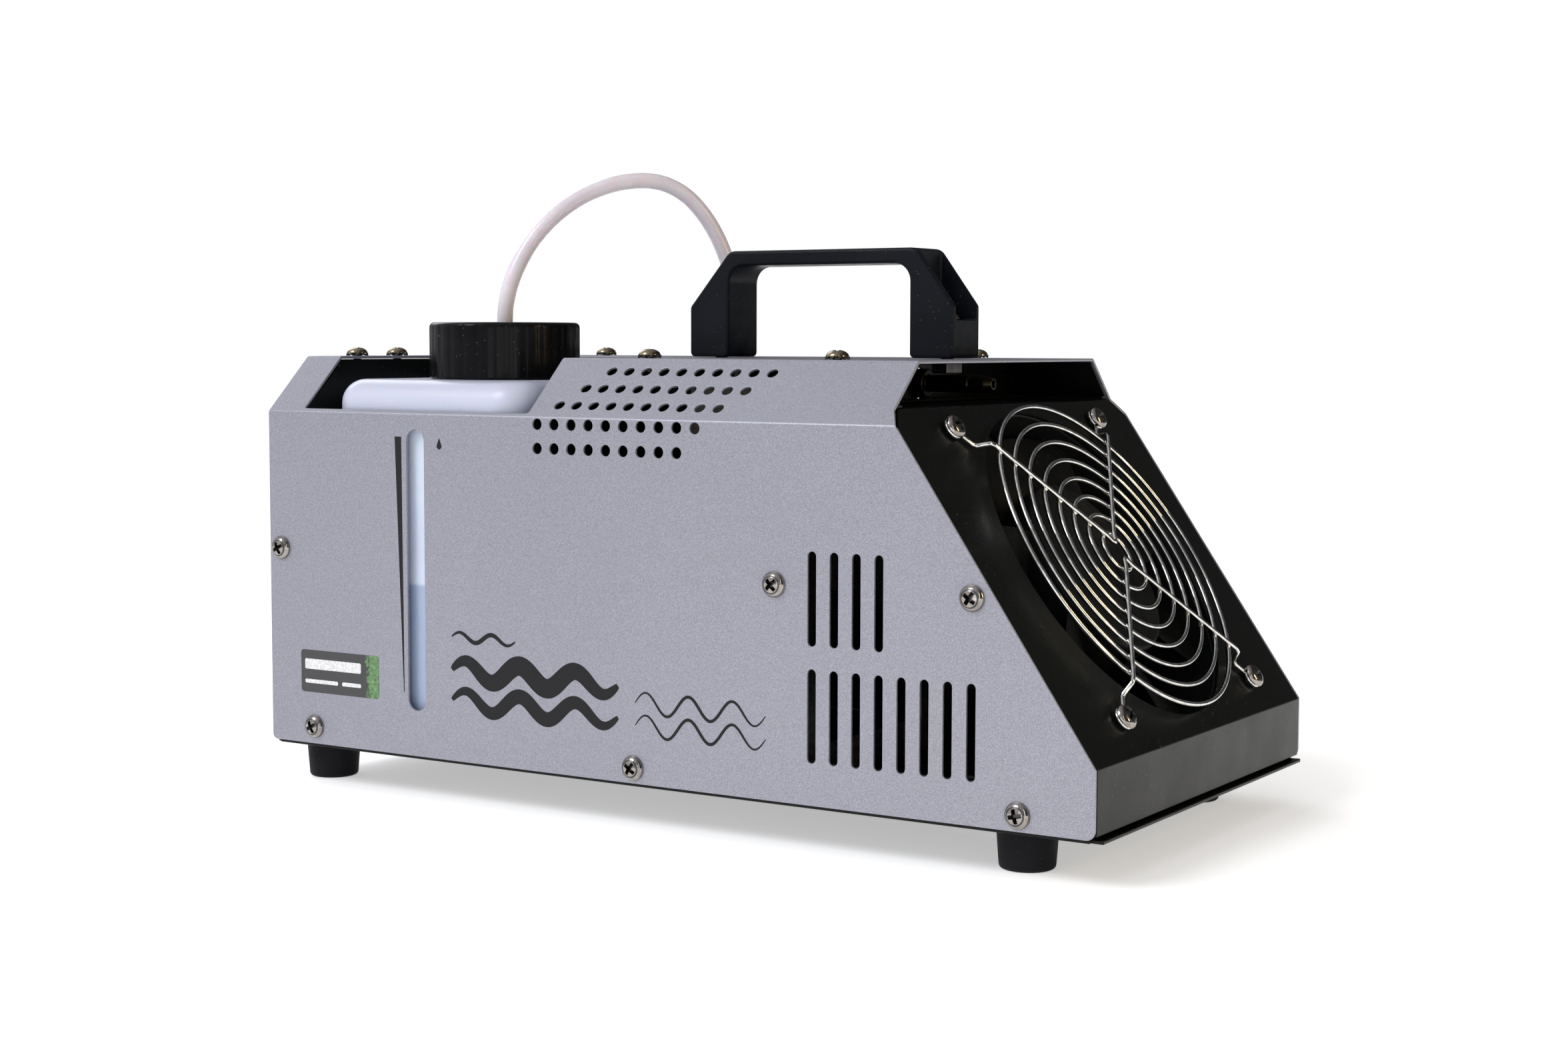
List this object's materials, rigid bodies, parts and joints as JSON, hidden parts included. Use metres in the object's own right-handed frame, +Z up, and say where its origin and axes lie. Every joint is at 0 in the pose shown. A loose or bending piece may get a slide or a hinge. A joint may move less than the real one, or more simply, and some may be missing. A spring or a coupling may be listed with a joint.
{
  "type": "fog machine",
  "caption": "Small stage fog machine: wedge-fronted folded metal case with a fan, top handle, fog outlet slot, and a lift-out fluid bottle with a hose from its cap.",
  "frame": {"origin": "on the table, under the middle of the machine's length and width", "axes": "+X towards the slanted fan front, -Y towards the side with the fluid window, +Z up"},
  "size_m": [0.336, 0.1738, 0.2216],
  "materials": {
    "silver_paint": "fine silver sparkle powder coat",
    "black_paint": "satin black powder coat",
    "nickel_steel": "bright nickel plate",
    "zinc_steel": "zinc plated, dull",
    "black_plastic": "fine moulded texture",
    "gloss_black_plastic": "glossy moulded",
    "black_rubber": "matt",
    "milky_plastic": "milky, translucent",
    "fog_fluid": "clear liquid with a blue tint",
    "cast_aluminium": "as cast",
    "brass": "turned",
    "copper_winding": "lacquered winding",
    "insulation": "pressed glass wool",
    "circuit_board": "solder-masked board",
    "smoked_window": "smoked, polished",
    "red_plastic": "glossy moulded"
  },
  "bodies": {
    "housing": {"housing_cover": "silver_paint", "base_tray": "black_paint", "front_panel": "black_paint", "outlet_liner": "black_paint", "rear_panel": "black_paint", "tank_bay": "black_paint", "inner_bracket": "zinc_steel", "carry_handle": "black_plastic", "handle_bolt_rear": "nickel_steel", "handle_bolt_front": "nickel_steel", "rubber_foot_rear_near": "black_rubber", "rubber_foot_front_near": "black_rubber", "rubber_foot_rear_far": "black_rubber", "rubber_foot_front_far": "black_rubber", "cover_screw_near_rear": "nickel_steel", "cover_screw_near_bottom": "nickel_steel", "cover_screw_near_front": "nickel_steel", "cover_screw_far_rear": "nickel_steel", "cover_screw_far_bottom": "nickel_steel", "cover_screw_far_front": "nickel_steel", "fan_guard": "nickel_steel", "guard_screw_1": "nickel_steel", "guard_screw_2": "nickel_steel", "guard_screw_3": "nickel_steel", "guard_screw_4": "nickel_steel", "fan_frame": "black_plastic", "fan_stator": "copper_winding", "heater_block": "cast_aluminium", "heater_jacket": "insulation", "outlet_pipe": "zinc_steel", "fog_nozzle": "brass", "feed_hose": "milky_plastic", "hose_grommet": "black_rubber", "suction_hose": "milky_plastic", "pressure_tube": "zinc_steel", "pump_body": "gloss_black_plastic", "pump_bracket": "zinc_steel", "power_board": "circuit_board", "mains_transformer": "zinc_steel", "control_board": "circuit_board", "display_window": "smoked_window", "iec_inlet": "black_plastic", "rocker_bezel": "black_plastic", "dmx_in_socket": "black_plastic", "dmx_out_socket": "black_plastic"},
    "tank": {"tank_bottle": "milky_plastic", "tank_fluid": "fog_fluid", "pickup_tube": "milky_plastic", "fluid_filter": "zinc_steel"},
    "cap_seal": {"cap_seal": "black_rubber"},
    "tank_cap": {"tank_cap": "gloss_black_plastic"},
    "fan_rotor": {"fan_rotor": "black_plastic"},
    "menu_button_1": {"menu_button_1": "gloss_black_plastic"},
    "menu_button_2": {"menu_button_2": "gloss_black_plastic"},
    "menu_button_3": {"menu_button_3": "gloss_black_plastic"},
    "menu_button_4": {"menu_button_4": "gloss_black_plastic"},
    "power_rocker": {"power_rocker": "red_plastic"},
    "fuse_drawer": {"fuse_drawer": "black_plastic"},
    "xlr_latch": {"xlr_latch": "zinc_steel"},
    "pump_piston": {"pump_piston": "zinc_steel"}
  },
  "joints": [
    {"name": "tank_lift", "type": "slide", "parent": "housing", "child": "tank", "axis": [0, 0, 1], "range_m": [0, 0.14], "deforming": ["feed_hose"]},
    {"name": "cap_rise", "type": "slide", "parent": "tank", "child": "cap_seal", "axis": [0, 0, 1], "range_m": [0, 0.015]},
    {"name": "cap_turn", "type": "hinge", "parent": "cap_seal", "child": "tank_cap", "pos_m": [-0.0903, -0.038, 0.16], "axis": [0, 0, 1], "range_deg": [0, 930]},
    {"name": "fan_spin", "type": "hinge", "parent": "housing", "child": "fan_rotor", "pos_m": [0.12982, 0, 0.08919], "axis": [0.8246, 0, 0.5657], "continuous": true},
    {"name": "menu_button_1_press", "type": "slide", "parent": "housing", "child": "menu_button_1", "axis": [1, 0, 0], "range_m": [0, 0.0008], "stiffness_N_per_m": 500, "springref_m": -0.001},
    {"name": "menu_button_2_press", "type": "slide", "parent": "housing", "child": "menu_button_2", "axis": [1, 0, 0], "range_m": [0, 0.0008], "stiffness_N_per_m": 500, "springref_m": -0.001},
    {"name": "menu_button_3_press", "type": "slide", "parent": "housing", "child": "menu_button_3", "axis": [1, 0, 0], "range_m": [0, 0.0008], "stiffness_N_per_m": 500, "springref_m": -0.001},
    {"name": "menu_button_4_press", "type": "slide", "parent": "housing", "child": "menu_button_4", "axis": [1, 0, 0], "range_m": [0, 0.0008], "stiffness_N_per_m": 500, "springref_m": -0.001},
    {"name": "power_rocker_tilt", "type": "hinge", "parent": "housing", "child": "power_rocker", "pos_m": [-0.1615, 0.066, 0.04], "axis": [0, 1, 0], "range_deg": [0, 16]},
    {"name": "fuse_drawer_slide", "type": "slide", "parent": "housing", "child": "fuse_drawer", "axis": [-1, 0, 0], "range_m": [0, 0.012]},
    {"name": "xlr_latch_press", "type": "slide", "parent": "housing", "child": "xlr_latch", "axis": [1, 0, 0], "range_m": [0, 0.0011], "stiffness_N_per_m": 500, "springref_m": -0.001},
    {"name": "pump_stroke", "type": "slide", "parent": "housing", "child": "pump_piston", "axis": [1, 0, 0], "range_m": [-0.0015, 0.0015], "stiffness_N_per_m": 500}
  ],
  "couplings": [
    {"joint": "cap_turn", "follows": "cap_rise", "rad_per_m": 1047.2}
  ]
}
